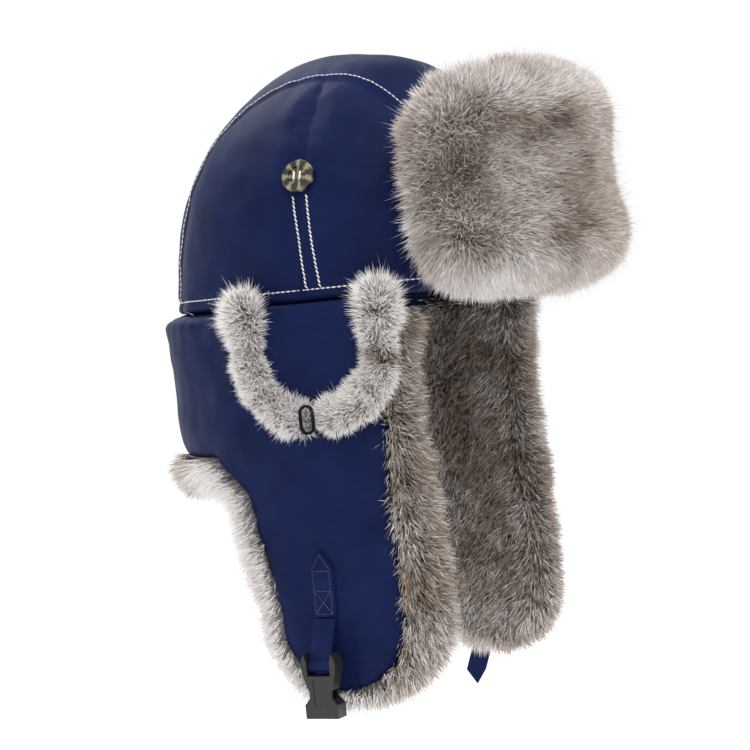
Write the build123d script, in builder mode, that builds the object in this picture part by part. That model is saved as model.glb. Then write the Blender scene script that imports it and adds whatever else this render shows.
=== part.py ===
from build123d import *
import math
import os

os.makedirs("parts", exist_ok=True)

# A trapper hat for a 58 cm head, in millimetres.
# +Z is up, -Y is the front, -X is the wearer's right.
# The origin is the middle of the head opening, in the plane of the crown's hem.

# crown
crown_rx = 93.5
crown_ry = 112.0
crown_rz = 137.0
panel_thickness = 1.2
padding_thickness = 5.5
lining_thickness = 1.0
layer_gap = 0.1
seam_gap = 0.3
strip_half_width_top = 42.0
strip_half_width_hem = 56.0
sweatband_height = 32.0
sweatband_thickness = 1.0

# curtain hanging from the hem: neck piece and ear flaps
curtain_rx = 98.0
curtain_ry = 116.5
curtain_top = -2.0
curtain_shell = 1.2
curtain_padding = 4.5
curtain_pile = 12.0
neck_drop = 84.0
neck_fur_drop = 116.0
flap_front_top = -68.0
flap_front_low = -54.0
flap_back = 30.0
flap_drop = 213.0
flap_fur_drop = 226.0
fur_edge = 19.0
flap_gap = 0.6

# ear covers
cover_shell = 1.2
cover_fur = 11.0
cover_center = -19.0
tongue_half_width = 30.0
tongue_drop = 58.0
cover_half_width = 47.0
cover_drop = 84.0

# buttons
button_diameter = 18.5
button_thickness = 3.6
button_height = 66.0
side_seam_y = -12.0
hole_diameter = 1.7
hole_spacing = 3.6
thread_diameter = 0.8
loop_wire = 1.4
loop_reach = 7.0

# visor
visor_half_width = 82.0
visor_bottom = 4.0
visor_top = 112.0
visor_gap = 1.0
visor_shell_thickness = 1.2
visor_stiffener_thickness = 2.0
visor_fur_half_width = 97.0
visor_side_cut = 60.0
visor_fur_bottom = -3.0
visor_fur_top = 131.0
stud_height = 40.0

# straps and buckle
strap_y = -11.0
strap_width = 13.0
strap_thickness = 1.5
anchor_top = -136.0
anchor_bottom = -172.0
anchor_point = 9.0
webbing_length = 24.0
tail_tip = -250.0
buckle_width = 21.5
buckle_length = 35.0
buckle_thickness = 9.0
buckle_wall = 1.5
bar_diameter = 3.0
plug_width = 9.2
arm_width = 3.0


def dome(shrink):
    """Solid half ellipsoid, smaller than the crown by shrink all round."""
    full = Solid.make_sphere(1.0, angle1=0, angle2=90, angle3=360)
    return full.scale((crown_rx - shrink, crown_ry - shrink, crown_rz - shrink), about=(0, 0, 0))


def dome_layer(outer, inner):
    return dome(outer) - dome(inner)


def oval_ring(rx, ry, thickness, low, high):
    """Upright oval tube with its outside at rx, ry."""
    with BuildSketch(Plane.XY.offset(low), mode=Mode.PRIVATE) as ring:
        Ellipse(rx, ry)
        Ellipse(rx - thickness, ry - thickness, mode=Mode.SUBTRACT)
    return extrude(ring.sketch, high - low, mode=Mode.PRIVATE)


def side_prism(face, side):
    """Side outline drawn with (y, z) carried outwards from the middle of the hat."""
    return extrude(face, 220 * side, dir=(1, 0, 0), mode=Mode.PRIVATE)


side_plane = Plane(origin=(0, 0, 0), x_dir=(0, 1, 0), z_dir=(1, 0, 0))


def flap_face(grow, drop, top):
    """Outline of an ear flap, wider than the fabric by grow, as a face in the middle plane."""
    with BuildSketch(side_plane, mode=Mode.PRIVATE) as outline:
        with BuildLine():
            front_top = (flap_front_top - grow, top)
            front_low = (flap_front_low - grow, -drop + 34)
            chin = (-20, -drop)
            back_low = (20 + 0.6 * grow, -drop + 46)
            back_mid = (flap_back, -neck_drop - 22)
            back_top = (flap_back, top)
            Line(back_top, front_top)
            Line(front_top, front_low)
            ThreePointArc(front_low, (-40 - 0.75 * grow, -drop + 7), chin)
            ThreePointArc(chin, (6 + 0.7 * grow, -drop + 17), back_low)
            Line(back_low, back_mid)
            Line(back_mid, back_top)
        make_face()
    return outline.sketch


def rounded_drop(center, half_width, drop, top):
    """Tongue outline: straight sides and a round lower end."""
    with BuildSketch(side_plane, mode=Mode.PRIVATE) as outline:
        with BuildLine():
            Line((center - half_width, top), (center + half_width, top))
            Line((center + half_width, top), (center + 0.86 * half_width, -drop + half_width * 0.8))
            ThreePointArc(
                (center + 0.86 * half_width, -drop + half_width * 0.8),
                (center, -drop),
                (center - 0.86 * half_width, -drop + half_width * 0.8),
            )
            Line((center - 0.86 * half_width, -drop + half_width * 0.8), (center - half_width, top))
        make_face()
    return outline.sketch


def mirrored(shape):
    return shape.mirror(Plane.YZ)


def save(name, shape):
    shape.label = name
    export_step(shape, "parts/" + name + ".step")


# ---------------------------------------------------------------- crown
with BuildSketch(Plane.XZ.offset(200)) as strip_face:
    with BuildLine():
        lean = (strip_half_width_hem - strip_half_width_top) / (crown_rz - 16)
        half_high = strip_half_width_hem - lean * (crown_rz + 10)
        Polyline(
            (-strip_half_width_hem, 0),
            (strip_half_width_hem, 0),
            (half_high, crown_rz + 10),
            (-half_high, crown_rz + 10),
            close=True,
        )
    make_face()
strip_prism = extrude(strip_face.sketch, -400, mode=Mode.PRIVATE)
with BuildSketch(Plane.XZ.offset(200)) as strip_cut_face:
    with BuildLine():
        Polyline(
            (-strip_half_width_hem - seam_gap, 0),
            (strip_half_width_hem + seam_gap, 0),
            (half_high + seam_gap, crown_rz + 10),
            (-half_high - seam_gap, crown_rz + 10),
            close=True,
        )
    make_face()
strip_cut = extrude(strip_cut_face.sketch, -400, mode=Mode.PRIVATE)
outer_layer = dome_layer(0, panel_thickness)

with BuildPart() as crown_center_panel:
    add(outer_layer)
    add(strip_prism, mode=Mode.INTERSECT)
save("crown_center_panel", crown_center_panel.part)

side_boxes = {
    "crown_side_front_right": (-1, -1),
    "crown_side_back_right": (-1, 1),
    "crown_side_front_left": (1, -1),
    "crown_side_back_left": (1, 1),
}
for panel_name, (side_x, side_y) in side_boxes.items():
    with BuildPart() as crown_side_panel:
        add(outer_layer)
        add(strip_cut, mode=Mode.SUBTRACT)
        with Locations((side_x * 150, side_seam_y + side_y * (100 + seam_gap / 2), 100)):
            Box(300, 200, 220, mode=Mode.INTERSECT)
    save(panel_name, crown_side_panel.part)

padding_outer = panel_thickness + layer_gap
lining_outer = padding_outer + padding_thickness + layer_gap
with BuildPart() as crown_padding:
    add(dome_layer(padding_outer, padding_outer + padding_thickness))
save("crown_padding", crown_padding.part)

with BuildPart() as crown_lining:
    add(dome_layer(lining_outer, lining_outer + lining_thickness))
save("crown_lining", crown_lining.part)

# The sweatband stands just inside the lining, where the dome is almost upright.
band_lean = 1 - math.sqrt(1 - (sweatband_height / (crown_rz - lining_outer)) ** 2)
band_rx = (crown_rx - lining_outer - lining_thickness) * (1 - band_lean) - layer_gap
band_ry = (crown_ry - lining_outer - lining_thickness) * (1 - band_lean) - layer_gap
with BuildPart() as sweatband:
    add(oval_ring(band_rx, band_ry, sweatband_thickness, 0, sweatband_height - 1))
save("sweatband", sweatband.part)

# ---------------------------------------------------------------- buttons
button_x = crown_rx * math.sqrt(1 - (button_height / crown_rz) ** 2 - (side_seam_y / crown_ry) ** 2)
button_plane = Plane(
    origin=(-button_x, side_seam_y, button_height),
    x_dir=(0, 1, 0),
    z_dir=(-button_x / crown_rx**2, side_seam_y / crown_ry**2, button_height / crown_rz**2),
)
with BuildPart(button_plane.offset(0.9)) as button_right:
    Cylinder(button_diameter / 2, button_thickness, align=(Align.CENTER, Align.CENTER, Align.MIN))
    chamfer(button_right.edges().filter_by(GeomType.CIRCLE), 0.9)
    with Locations((0, 0, button_thickness)):
        Cylinder(5.2, 0.9, align=(Align.CENTER, Align.CENTER, Align.MAX), mode=Mode.SUBTRACT)
    with GridLocations(hole_spacing, hole_spacing, 2, 2):
        Cylinder(hole_diameter / 2, 20, mode=Mode.SUBTRACT)
save("button_right", button_right.part)
with BuildPart() as button_left:
    add(mirrored(button_right.part))
save("button_left", button_left.part)

# One thread: two stitches over the button, each through a pair of holes, joined underneath.
thread_low = 0.45
thread_top = button_thickness + thread_diameter / 2 + 0.1
reach = hole_spacing / 2
loop_size = hole_spacing + thread_diameter + 0.1
with BuildPart(button_plane.offset(thread_low)) as button_thread_right:
    rise = thread_top - thread_low
    with GridLocations(hole_spacing, hole_spacing, 2, 2):
        Cylinder(thread_diameter / 2, rise, align=(Align.CENTER, Align.CENTER, Align.MIN))
    with Locations((-reach, 0, rise), (reach, 0, rise)):
        Box(thread_diameter + 0.1, loop_size, thread_diameter - 0.1)
    with Locations((0, reach, 0)):
        Box(loop_size, thread_diameter + 0.1, thread_diameter - 0.1)
save("button_thread_right", button_thread_right.part)
with BuildPart() as button_thread_left:
    add(mirrored(button_thread_right.part))
save("button_thread_left", button_thread_left.part)

# ---------------------------------------------------------------- neck piece
with BuildPart() as neck_shell:
    add(oval_ring(curtain_rx, curtain_ry, curtain_shell, -neck_drop, curtain_top))
    with Locations((0, 150 + flap_back + flap_gap, -100)):
        Box(300, 300, 300, mode=Mode.INTERSECT)
save("neck_shell", neck_shell.part)

neck_fur_in = curtain_shell + layer_gap
with BuildPart() as neck_fur:
    add(
        oval_ring(
            curtain_rx - neck_fur_in,
            curtain_ry - neck_fur_in,
            curtain_padding + curtain_pile,
            -neck_fur_drop,
            curtain_top - 6,
        )
    )
    # the pile turns out below the edge of the fabric
    add(oval_ring(curtain_rx + 4, curtain_ry + 4, 9, -neck_fur_drop, -neck_drop - 0.4))
    with Locations((0, 150 + flap_back + flap_gap + 0.4, -100)):
        Box(300, 300, 300, mode=Mode.INTERSECT)
save("neck_fur", neck_fur.part)

# ---------------------------------------------------------------- ear flaps
shell_face = flap_face(0, flap_drop, curtain_top)
fur_face = flap_face(fur_edge, flap_fur_drop, curtain_top - 6)
inner_face = offset(shell_face, -2, mode=Mode.PRIVATE)

with BuildPart() as right_earflap_shell:
    add(oval_ring(curtain_rx, curtain_ry, curtain_shell, -250, curtain_top))
    add(side_prism(shell_face, -1), mode=Mode.INTERSECT)
save("right_earflap_shell", right_earflap_shell.part)

pad_in = curtain_shell + layer_gap
with BuildPart() as right_earflap_padding:
    add(oval_ring(curtain_rx - pad_in, curtain_ry - pad_in, curtain_padding, -250, curtain_top - 3))
    add(side_prism(inner_face, -1), mode=Mode.INTERSECT)
save("right_earflap_padding", right_earflap_padding.part)

# The fur lines the inside and swells out round the free edges of the fabric.
fur_in = pad_in + curtain_padding + layer_gap
shell_room = offset(shell_face, 0.4, mode=Mode.PRIVATE)
with BuildPart() as right_earflap_fur:
    add(oval_ring(curtain_rx + 2, curtain_ry + 2, curtain_pile + fur_in + 2, -250, curtain_top - 6))
    add(side_prism(fur_face, -1), mode=Mode.INTERSECT)
    with BuildPart(mode=Mode.PRIVATE) as fabric_room:
        add(oval_ring(curtain_rx + 5, curtain_ry + 5, fur_in + 5, -260, 60))
        add(side_prism(shell_room, -1), mode=Mode.INTERSECT)
    add(fabric_room.part, mode=Mode.SUBTRACT)
save("right_earflap_fur", right_earflap_fur.part)

for flap_piece, source in (
    ("left_earflap_shell", right_earflap_shell),
    ("left_earflap_padding", right_earflap_padding),
    ("left_earflap_fur", right_earflap_fur),
):
    with BuildPart() as left_piece:
        add(mirrored(source.part))
    save(flap_piece, left_piece.part)

# ---------------------------------------------------------------- ear covers
cover_base = 0.6
cover_rx = curtain_rx + cover_base + cover_shell
cover_ry = curtain_ry + cover_base + cover_shell
tongue_face = rounded_drop(cover_center, tongue_half_width + 6, tongue_drop + 6, -3.0)
cover_face = rounded_drop(cover_center, cover_half_width, cover_drop, -4.5)
cover_hole = rounded_drop(cover_center, tongue_half_width - 3, tongue_drop - 3, 10.0)
with BuildPart() as right_ear_cover_tongue:
    add(oval_ring(cover_rx, cover_ry, cover_shell, -120, -3.0))
    add(side_prism(tongue_face, -1), mode=Mode.INTERSECT)
save("right_ear_cover_tongue", right_ear_cover_tongue.part)

# Fur strips sewn on round the tongue, joined at the bottom behind the button loop.
with BuildPart() as cover_fur_ring:
    add(oval_ring(cover_rx + layer_gap + cover_fur, cover_ry + layer_gap + cover_fur, cover_fur, -120, -4.5))
    add(side_prism(cover_face, -1), mode=Mode.INTERSECT)
    add(side_prism(cover_hole, -1), mode=Mode.SUBTRACT)
with BuildPart() as right_ear_cover_fur_front:
    add(cover_fur_ring.part)
    with Locations((-100, cover_center - 100 - seam_gap / 2, -50)):
        Box(200, 200, 200, mode=Mode.INTERSECT)
save("right_ear_cover_fur_front", right_ear_cover_fur_front.part)
with BuildPart() as right_ear_cover_fur_back:
    add(cover_fur_ring.part)
    with Locations((-100, cover_center + 100 + seam_gap / 2, -50)):
        Box(200, 200, 200, mode=Mode.INTERSECT)
save("right_ear_cover_fur_back", right_ear_cover_fur_back.part)

# Button loop at the lower end of the tongue, lying over the split in the fur.
loop_x = -(cover_rx + cover_fur + layer_gap + loop_wire / 2 + 0.2)
loop_plane = Plane(origin=(loop_x, cover_center, -tongue_drop - 6), x_dir=(0, 1, 0), z_dir=(-1, 0, 0))
with BuildPart() as right_ear_cover_loop:
    with BuildSketch(loop_plane.offset(-loop_wire / 2)):
        SlotCenterToCenter(loop_reach, 9.0, rotation=90)
        SlotCenterToCenter(loop_reach, 6.2, rotation=90, mode=Mode.SUBTRACT)
    extrude(amount=loop_wire)
save("right_ear_cover_loop", right_ear_cover_loop.part)

for cover_piece, source in (
    ("left_ear_cover_tongue", right_ear_cover_tongue),
    ("left_ear_cover_fur_front", right_ear_cover_fur_front),
    ("left_ear_cover_fur_back", right_ear_cover_fur_back),
    ("left_ear_cover_loop", right_ear_cover_loop),
):
    with BuildPart() as left_piece:
        add(mirrored(source.part))
    save(cover_piece, left_piece.part)

# ---------------------------------------------------------------- visor
visor_base = visor_gap
visor_rx = crown_rx + visor_base + visor_shell_thickness
visor_ry = crown_ry + visor_base + visor_shell_thickness


def visor_outline(half_width, low, high, corner):
    with BuildSketch(Plane.XZ.offset(visor_side_cut), mode=Mode.PRIVATE) as outline:
        with Locations((0, (low + high) / 2)):
            RectangleRounded(2 * half_width, high - low, corner)
    return extrude(outline.sketch, 200, mode=Mode.PRIVATE)


with BuildPart() as visor_shell:
    add(oval_ring(visor_rx, visor_ry, visor_shell_thickness, 0, 200))
    add(visor_outline(visor_half_width, visor_bottom, visor_top, 26), mode=Mode.INTERSECT)
save("visor_shell", visor_shell.part)

stiff_out = layer_gap + visor_stiffener_thickness
with BuildPart() as visor_stiffener:
    add(oval_ring(visor_rx + stiff_out, visor_ry + stiff_out, visor_stiffener_thickness, 0, 200))
    add(visor_outline(visor_half_width - 2, visor_bottom + 2, visor_top - 2, 24), mode=Mode.INTERSECT)
save("visor_stiffener", visor_stiffener.part)

# Long pile: a bulging cushion of fur over the face of the visor and round its edges.
pile_center = 44.0
with BuildPart() as visor_fur:
    add(
        Solid.make_sphere(1.0, angle1=-90, angle2=90, angle3=360)
        .scale((121, 157, 118), about=(0, 0, 0))
        .moved(Location((0, 0, pile_center)))
    )
    add(visor_outline(visor_fur_half_width, visor_fur_bottom, visor_fur_top, 32), mode=Mode.INTERSECT)
    add(oval_ring(visor_rx, visor_ry, 80, -20, 200), mode=Mode.SUBTRACT)
    with Locations((0, 0, 60)):
        Box(140, 160, 300, mode=Mode.SUBTRACT)
    with BuildPart(mode=Mode.PRIVATE) as stiffener_room:
        add(oval_ring(visor_rx + stiff_out + layer_gap, visor_ry + stiff_out + layer_gap, 20, 0, 200))
        add(visor_outline(visor_half_width + 0.3, visor_bottom - 0.3, visor_top + 0.3, 26), mode=Mode.INTERSECT)
    add(stiffener_room.part, mode=Mode.SUBTRACT)
save("visor_fur", visor_fur.part)

# Press stud holding the visor up: the ball on the crown, the socket on the visor.
stud_y = -crown_ry * math.sqrt(1 - (stud_height / crown_rz) ** 2)
stud_base = Plane(origin=(0, stud_y + 2, stud_height), x_dir=(1, 0, 0), z_dir=(0, -1, 0))
visor_back = -(visor_ry - visor_shell_thickness)
stud_room = stud_y + 2 - visor_back
crown_room = dome(-0.15)
with BuildPart() as visor_snap_stud:
    with Locations(stud_base):
        Cylinder(5.0, stud_room - 3.4, align=(Align.CENTER, Align.CENTER, Align.MIN))
        Cylinder(1.8, stud_room - 1.0, align=(Align.CENTER, Align.CENTER, Align.MIN))
    add(crown_room, mode=Mode.SUBTRACT)
save("visor_snap_stud", visor_snap_stud.part)
socket_plane = Plane(origin=(0, visor_back + 0.35, stud_height), x_dir=(1, 0, 0), z_dir=(0, 1, 0))
with BuildPart() as visor_snap_socket:
    with Locations(socket_plane):
        Cylinder(5.5, 2.6, align=(Align.CENTER, Align.CENTER, Align.MIN))
    with Locations(socket_plane.offset(0.5)):
        Cylinder(2.3, 10, align=(Align.CENTER, Align.CENTER, Align.MIN), mode=Mode.SUBTRACT)
save("visor_snap_socket", visor_snap_socket.part)

# ---------------------------------------------------------------- straps
strap_x = curtain_rx * math.sqrt(1 - (strap_y / curtain_ry) ** 2)
anchor_x = curtain_rx + 0.5


def anchor_solid():
    """Strap end sewn flat on the flap: pointed at the top, square at the bottom."""
    with BuildSketch(side_plane, mode=Mode.PRIVATE) as outline:
        with BuildLine():
            Polyline(
                (strap_y - strap_width / 2, anchor_bottom),
                (strap_y + strap_width / 2, anchor_bottom),
                (strap_y + strap_width / 2, anchor_top - anchor_point),
                (strap_y, anchor_top),
                (strap_y - strap_width / 2, anchor_top - anchor_point),
                close=True,
            )
        make_face()
    return side_prism(outline.sketch, -1)


with BuildPart() as right_strap_anchor:
    add(oval_ring(curtain_rx + 0.1 + strap_thickness, curtain_ry + 0.1 + strap_thickness, strap_thickness, -250, -100))
    add(anchor_solid(), mode=Mode.INTERSECT)
save("right_strap_anchor", right_strap_anchor.part)

web_x = -(strap_x + 10.5)
web_top = anchor_bottom - 1.0
bar_z = web_top - webbing_length
eye = bar_diameter / 2 + 0.4
lie_x = -(strap_x + 1.4)
with BuildPart() as right_strap_webbing:
    with BuildSketch(Plane.XZ.offset(-strap_y - strap_width / 2)):
        with BuildLine():
            Polyline(
                (lie_x, web_top),
                (lie_x - strap_thickness, web_top),
                (web_x - strap_thickness / 2, bar_z + eye + 4),
                (web_x - strap_thickness / 2, bar_z + eye),
                (web_x + strap_thickness / 2, bar_z + eye),
                (web_x + strap_thickness / 2, bar_z + eye + 4),
                close=True,
            )
        make_face()
    extrude(amount=strap_width)
    with Locations((web_x, strap_y, bar_z)):
        Cylinder(eye + strap_thickness, strap_width, rotation=(90, 0, 0))
        Cylinder(eye, strap_width + 2, rotation=(90, 0, 0), mode=Mode.SUBTRACT)
save("right_strap_webbing", right_strap_webbing.part)

# Side-release buckle, socket half: a bar for the webbing between two horns,
# a body that draws in at its waist, and a flared mouth for the plug.
slot_half = strap_width / 2 + 0.5
waist_half = 6.7
mouth_half = 10.0
body_top = bar_z - 5.0
body_bottom = bar_z + 7.0 - buckle_length
with BuildPart() as buckle_socket:
    with BuildSketch(Plane(origin=(web_x, strap_y, 0), x_dir=(0, 1, 0), z_dir=(1, 0, 0))):
        with BuildLine():
            half = buckle_width / 2
            Line((0, body_top), (slot_half, body_top))
            Line((slot_half, body_top), (slot_half, bar_z + 2.0))
            Line((slot_half, bar_z + 2.0), (slot_half + 1.4, bar_z + 7.0))
            ThreePointArc((slot_half + 1.4, bar_z + 7.0), (half - 0.9, bar_z + 4.5), (half, bar_z + 1.0))
            Spline((half, bar_z + 1.0), (half - 1.4, bar_z - 6.0), (waist_half, bar_z - 13.5))
            Line((waist_half, bar_z - 13.5), (waist_half, bar_z - 17.0))
            Line((waist_half, bar_z - 17.0), (mouth_half, bar_z - 20.5))
            Line((mouth_half, bar_z - 20.5), (mouth_half, body_bottom))
            Line((mouth_half, body_bottom), (0, body_bottom))
            Line((0, body_bottom), (0, body_top))
        make_face()
        mirror(about=Plane.YZ)
    extrude(amount=buckle_thickness / 2, both=True)
    with Locations((web_x, strap_y, bar_z)):
        Cylinder(bar_diameter / 2, strap_width + 4, rotation=(90, 0, 0))
    # the mouth that takes the plug, open below and at both sides
    with Locations((web_x, strap_y, (body_bottom + body_top - 3) / 2 - 1)):
        Box(buckle_thickness - 2 * buckle_wall, plug_width + 1.2, body_top - body_bottom - 1, mode=Mode.SUBTRACT)
    with Locations((web_x, strap_y, bar_z - 15.2)):
        Box(buckle_thickness - 2 * buckle_wall - 0.4, 60, 5.0, mode=Mode.SUBTRACT)
    # a raised panel's edge drawn on the outer face
    groove_x = web_x - buckle_thickness / 2
    with Locations((groove_x, strap_y + 3.7, bar_z - 14.0)):
        Box(0.7, 0.7, 14.0, mode=Mode.SUBTRACT)
    with Locations((groove_x, strap_y + 1.5, bar_z - 21.3)):
        Box(0.7, 5.1, 0.7, mode=Mode.SUBTRACT)
save("buckle_socket", buckle_socket.part)

# Left strap, with the buckle's plug half and its two spring arms.
with BuildPart() as left_strap_anchor:
    add(mirrored(right_strap_anchor.part))
save("left_strap_anchor", left_strap_anchor.part)
with BuildPart() as left_strap_webbing:
    add(mirrored(right_strap_webbing.part))
save("left_strap_webbing", left_strap_webbing.part)

plug_depth = 5.0
frame_top = bar_z + 6.0
plug_base = bar_z - 7.6
plug_tip = plug_base - 16.0
with BuildPart() as buckle_plug:
    with Locations((-web_x, strap_y, (frame_top + plug_base) / 2)):
        Box(7.0, buckle_width, frame_top - plug_base)
    # open at the top, so the webbing can drop in round the bar
    with Locations((-web_x, strap_y, (frame_top + plug_base + 3.5) / 2 + 2)):
        Box(20, strap_width + 1.2, frame_top - plug_base - 3.5 + 4, mode=Mode.SUBTRACT)
    edges_out = buckle_plug.edges().filter_by(Axis.X).group_by(Axis.Y)
    fillet(edges_out[0] + edges_out[-1], 2.5)
    with Locations((-web_x, strap_y, bar_z)):
        Cylinder(bar_diameter / 2, strap_width + 4, rotation=(90, 0, 0))
    with Locations((-web_x, strap_y, (plug_base + plug_tip) / 2 + 1)):
        Box(3.0, 1.0, plug_base - plug_tip)
save("buckle_plug", buckle_plug.part)

# Free end of the left strap, gripped at the plug's bar and hanging over its outside.
tail_x = -web_x + 3.5 + 0.4
tail_half = 6.5
tail_drift = 18.0
with BuildPart() as left_strap_tail:
    with BuildSketch(Plane(origin=(tail_x, strap_y, 0), x_dir=(0, 1, 0), z_dir=(1, 0, 0))):
        with BuildLine():
            Polyline(
                (-tail_half, bar_z + 3),
                (tail_half, bar_z + 3),
                (tail_drift + tail_half, tail_tip + anchor_point),
                (tail_drift, tail_tip),
                (tail_drift - tail_half, tail_tip + anchor_point),
                close=True,
            )
        make_face()
    extrude(amount=strap_thickness)
save("left_strap_tail", left_strap_tail.part)

arm_y = plug_width / 2 - arm_width / 2
for arm_name, arm_side in (("release_arm_front", -1), ("release_arm_back", 1)):
    with BuildPart() as release_arm:
        with BuildSketch(Plane(origin=(-web_x, 0, 0), x_dir=(0, 1, 0), z_dir=(1, 0, 0))):
            with BuildLine():
                root = strap_y + arm_side * (arm_y - 1.5)
                outer = strap_y + arm_side * (arm_y + 1.5)
                bulge = strap_y + arm_side * (arm_y + 3.0)
                Polyline(
                    (root, plug_base - 0.4),
                    (outer, plug_base - 0.4),
                    (outer, plug_base - 7.0),
                    (bulge, plug_base - 9.0),
                    (bulge, plug_tip + 4.0),
                    (root, plug_tip),
                    close=True,
                )
            make_face()
        extrude(amount=plug_depth / 2, both=True)
    save(arm_name, release_arm.part)
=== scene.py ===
import bpy, bmesh, math
from mathutils import Vector, Matrix, noise
from mathutils.kdtree import KDTree


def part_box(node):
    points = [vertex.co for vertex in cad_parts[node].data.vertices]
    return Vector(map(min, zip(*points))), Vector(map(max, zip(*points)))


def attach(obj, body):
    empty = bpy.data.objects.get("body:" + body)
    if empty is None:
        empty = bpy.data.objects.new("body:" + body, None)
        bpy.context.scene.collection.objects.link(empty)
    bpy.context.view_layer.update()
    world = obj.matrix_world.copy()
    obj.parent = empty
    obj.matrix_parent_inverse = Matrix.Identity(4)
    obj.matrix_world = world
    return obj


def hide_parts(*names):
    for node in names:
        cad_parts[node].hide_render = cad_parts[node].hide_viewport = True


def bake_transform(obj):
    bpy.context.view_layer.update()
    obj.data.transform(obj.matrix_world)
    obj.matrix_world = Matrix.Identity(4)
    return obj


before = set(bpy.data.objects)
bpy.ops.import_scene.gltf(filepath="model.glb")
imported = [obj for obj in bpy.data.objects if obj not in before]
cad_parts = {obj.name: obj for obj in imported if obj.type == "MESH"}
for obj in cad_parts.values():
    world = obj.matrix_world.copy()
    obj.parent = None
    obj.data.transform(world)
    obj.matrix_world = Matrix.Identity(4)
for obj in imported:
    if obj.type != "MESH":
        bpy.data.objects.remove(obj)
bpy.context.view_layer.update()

mm = 0.001


def smooth(a, b, x):
    t = min(1.0, max(0.0, (x - a) / (b - a)))
    return t * t * (3 - 2 * t)


def mixIn(a, b, t):
    return a + (b - a) * t


# Materials

def newMaterial(name, color, rough, **sockets):
    mat = bpy.data.materials.new(name)
    mat.use_nodes = True
    shader = mat.node_tree.nodes["Principled BSDF"]
    shader.inputs["Base Color"].default_value = (*color, 1)
    shader.inputs["Roughness"].default_value = rough
    for key, value in sockets.items():
        shader.inputs[key.replace("_", " ")].default_value = value
    return mat, mat.node_tree, shader


def addNode(tree, kind, **values):
    node = tree.nodes.new(kind)
    for key, value in values.items():
        if hasattr(node, key):
            setattr(node, key, value)
        else:
            node.inputs[key.replace("_", " ")].default_value = value
    return node


def colorRamp(tree, source, stops):
    ramp = tree.nodes.new("ShaderNodeValToRGB")
    while len(ramp.color_ramp.elements) < len(stops):
        ramp.color_ramp.elements.new(0.5)
    for element, (place, color) in zip(ramp.color_ramp.elements, stops):
        element.position = place
        element.color = (*color, 1)
    tree.links.new(source, ramp.inputs[0])
    return ramp.outputs[0]


def addBump(tree, shader, source, strength, distance):
    bump = addNode(tree, "ShaderNodeBump", Strength=strength, Distance=distance)
    tree.links.new(source, bump.inputs["Height"])
    tree.links.new(bump.outputs[0], shader.inputs["Normal"])


def weaveMaterial(name, dark, light, rough, weave, mottle, sheen):
    mat, tree, shader = newMaterial(name, light, rough, Sheen_Weight=sheen, Sheen_Roughness=0.45)
    shader.inputs["Sheen Tint"].default_value = (0.45, 0.55, 0.95, 1)
    shader.inputs["Specular IOR Level"].default_value = 0.07
    coord = addNode(tree, "ShaderNodeTexCoord")
    blotch = addNode(tree, "ShaderNodeTexNoise", Scale=mottle, Detail=3.0, Roughness=0.55)
    tree.links.new(coord.outputs["Object"], blotch.inputs["Vector"])
    fine = addNode(tree, "ShaderNodeTexNoise", Scale=weave, Detail=2.0, Roughness=0.6)
    tree.links.new(coord.outputs["Object"], fine.inputs["Vector"])
    blend = addNode(tree, "ShaderNodeMix", data_type="FLOAT")
    blend.inputs[0].default_value = 0.42
    tree.links.new(blotch.outputs["Fac"], blend.inputs[2])
    tree.links.new(fine.outputs["Fac"], blend.inputs[3])
    color = colorRamp(tree, blend.outputs[0], [(0.36, dark), (0.66, light)])
    tree.links.new(color, shader.inputs["Base Color"])
    addBump(tree, shader, fine.outputs["Fac"], 0.5, 0.00035)
    return mat


navyCloth = weaveMaterial("navyCloth", (0.0028, 0.0072, 0.040), (0.0060, 0.0145, 0.070), 0.5,
                          2600.0, 34.0, 0.0)
navyTape = weaveMaterial("navyTape", (0.0030, 0.0075, 0.040), (0.0080, 0.0170, 0.076), 0.6, 1900.0, 60.0, 0.0)
darkElastic = weaveMaterial("darkElastic", (0.004, 0.004, 0.006), (0.014, 0.014, 0.02), 0.8,
                            1900.0, 60.0, 0.0)
quilting = weaveMaterial("quilting", (0.006, 0.007, 0.012), (0.016, 0.018, 0.03), 0.5, 2200.0, 20.0, 0.2)
bandCloth = weaveMaterial("bandCloth", (0.01, 0.011, 0.02), (0.03, 0.032, 0.05), 0.75, 1500.0, 30.0, 0.2)


def mottledMaterial(name, dark, light, rough, scale, bump, **sockets):
    mat, tree, shader = newMaterial(name, light, rough, **sockets)
    coord = addNode(tree, "ShaderNodeTexCoord")
    grain = addNode(tree, "ShaderNodeTexNoise", Scale=scale, Detail=2.0)
    tree.links.new(coord.outputs["Object"], grain.inputs["Vector"])
    color = colorRamp(tree, grain.outputs["Fac"], [(0.3, dark), (0.7, light)])
    tree.links.new(color, shader.inputs["Base Color"])
    addBump(tree, shader, grain.outputs["Fac"], bump, 0.0002)
    return mat


whiteThread = mottledMaterial("whiteThread", (0.62, 0.61, 0.58), (0.88, 0.88, 0.86), 0.6, 2400.0, 0.5,
                              Sheen_Weight=0.2)
navyThread = mottledMaterial("navyThread", (0.012, 0.022, 0.09), (0.03, 0.048, 0.16), 0.5, 2400.0, 0.5,
                             Sheen_Weight=0.2)


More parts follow.
